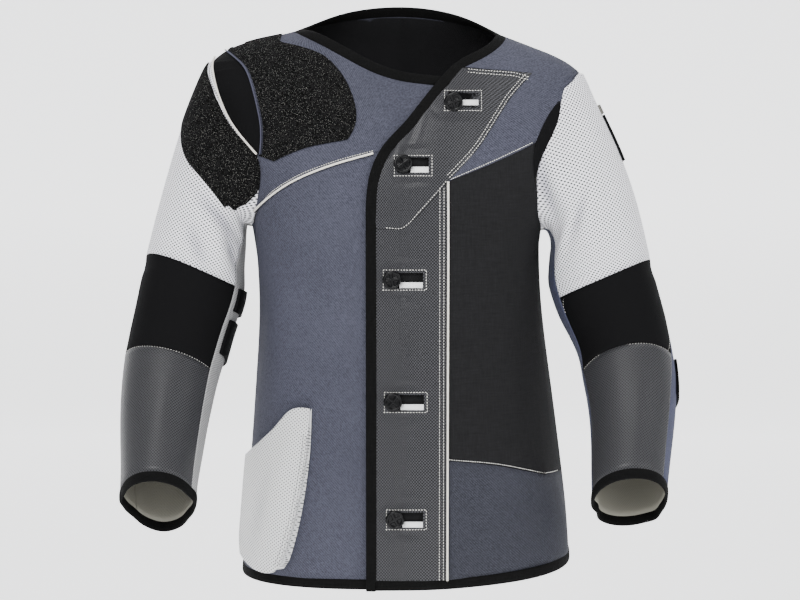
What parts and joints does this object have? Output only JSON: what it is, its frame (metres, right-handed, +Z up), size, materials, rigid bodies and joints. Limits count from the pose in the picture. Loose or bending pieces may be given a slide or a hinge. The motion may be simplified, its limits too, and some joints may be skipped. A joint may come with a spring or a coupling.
{
  "type": "shooting jacket",
  "caption": "Stiff collarless target shooting jacket in blue, grey and white, with a slanted button front, padded shoulder, pre-bent sleeves and a bellows pocket.",
  "frame": {"origin": "centre of the neck's base, where the wearer's shoulders hold the jacket up", "axes": "+Z up, -Y towards the front with the buttons, +X towards the wearer's left"},
  "size_m": [0.7213, 0.3498, 0.75],
  "materials": {
    "blue_cloth": "matte twill",
    "black_cloth": "matte plain weave",
    "black_stretch": "matte stretch cloth",
    "blue_piping": "matte",
    "cream_piping": "matte",
    "grey_leather": "perforated, low sheen",
    "white_leather": "perforated, low sheen",
    "pale_grey_mesh": "matte, perforated",
    "binding": "matte tape",
    "grit_rubber": "rough, speckled",
    "pocket_leather": "partly perforated, low sheen",
    "button_plastic": "gloss",
    "white_tape": "matte tape"
  },
  "bodies": {
    "root": {"back_panel": "blue_cloth", "right_front_yoke": "blue_cloth", "right_front_panel": "blue_cloth", "button_stand": "black_cloth", "right_gusset": "black_stretch", "right_gusset_piping": "blue_piping", "chest_piping": "cream_piping", "left_front_yoke": "blue_cloth", "placket_upper": "grey_leather", "placket_lower": "grey_leather", "placket_piping": "cream_piping", "left_side_panel": "black_cloth", "left_hem_panel": "blue_cloth", "left_gusset": "black_stretch", "neck_binding": "binding", "front_edge_binding": "binding", "hem_binding": "binding", "right_sleeve_upper": "white_leather", "right_elbow": "black_stretch", "right_forearm": "grey_leather", "right_under_sleeve": "pale_grey_mesh", "right_cuff_binding": "binding", "left_sleeve_upper": "white_leather", "left_elbow": "black_stretch", "left_forearm": "grey_leather", "left_under_sleeve": "blue_cloth", "left_cuff_binding": "binding", "chest_patch": "grit_rubber", "right_sleeve_patch": "grit_rubber", "right_armhole_piping": "cream_piping", "pocket_front": "pocket_leather", "pocket_bellows": "pocket_leather", "left_arm_tab": "black_stretch", "left_arm_tab_tip": "grey_leather", "left_forearm_tab": "black_stretch", "right_elbow_strap_1": "black_stretch", "right_elbow_strap_2": "black_stretch", "button_1": "button_plastic", "button_2": "button_plastic", "button_3": "button_plastic", "button_4": "button_plastic", "button_5": "button_plastic", "slot_tape_1": "white_tape", "slot_tape_2": "white_tape", "slot_tape_3": "white_tape", "slot_tape_4": "white_tape", "slot_tape_5": "white_tape"}
  },
  "joints": []
}
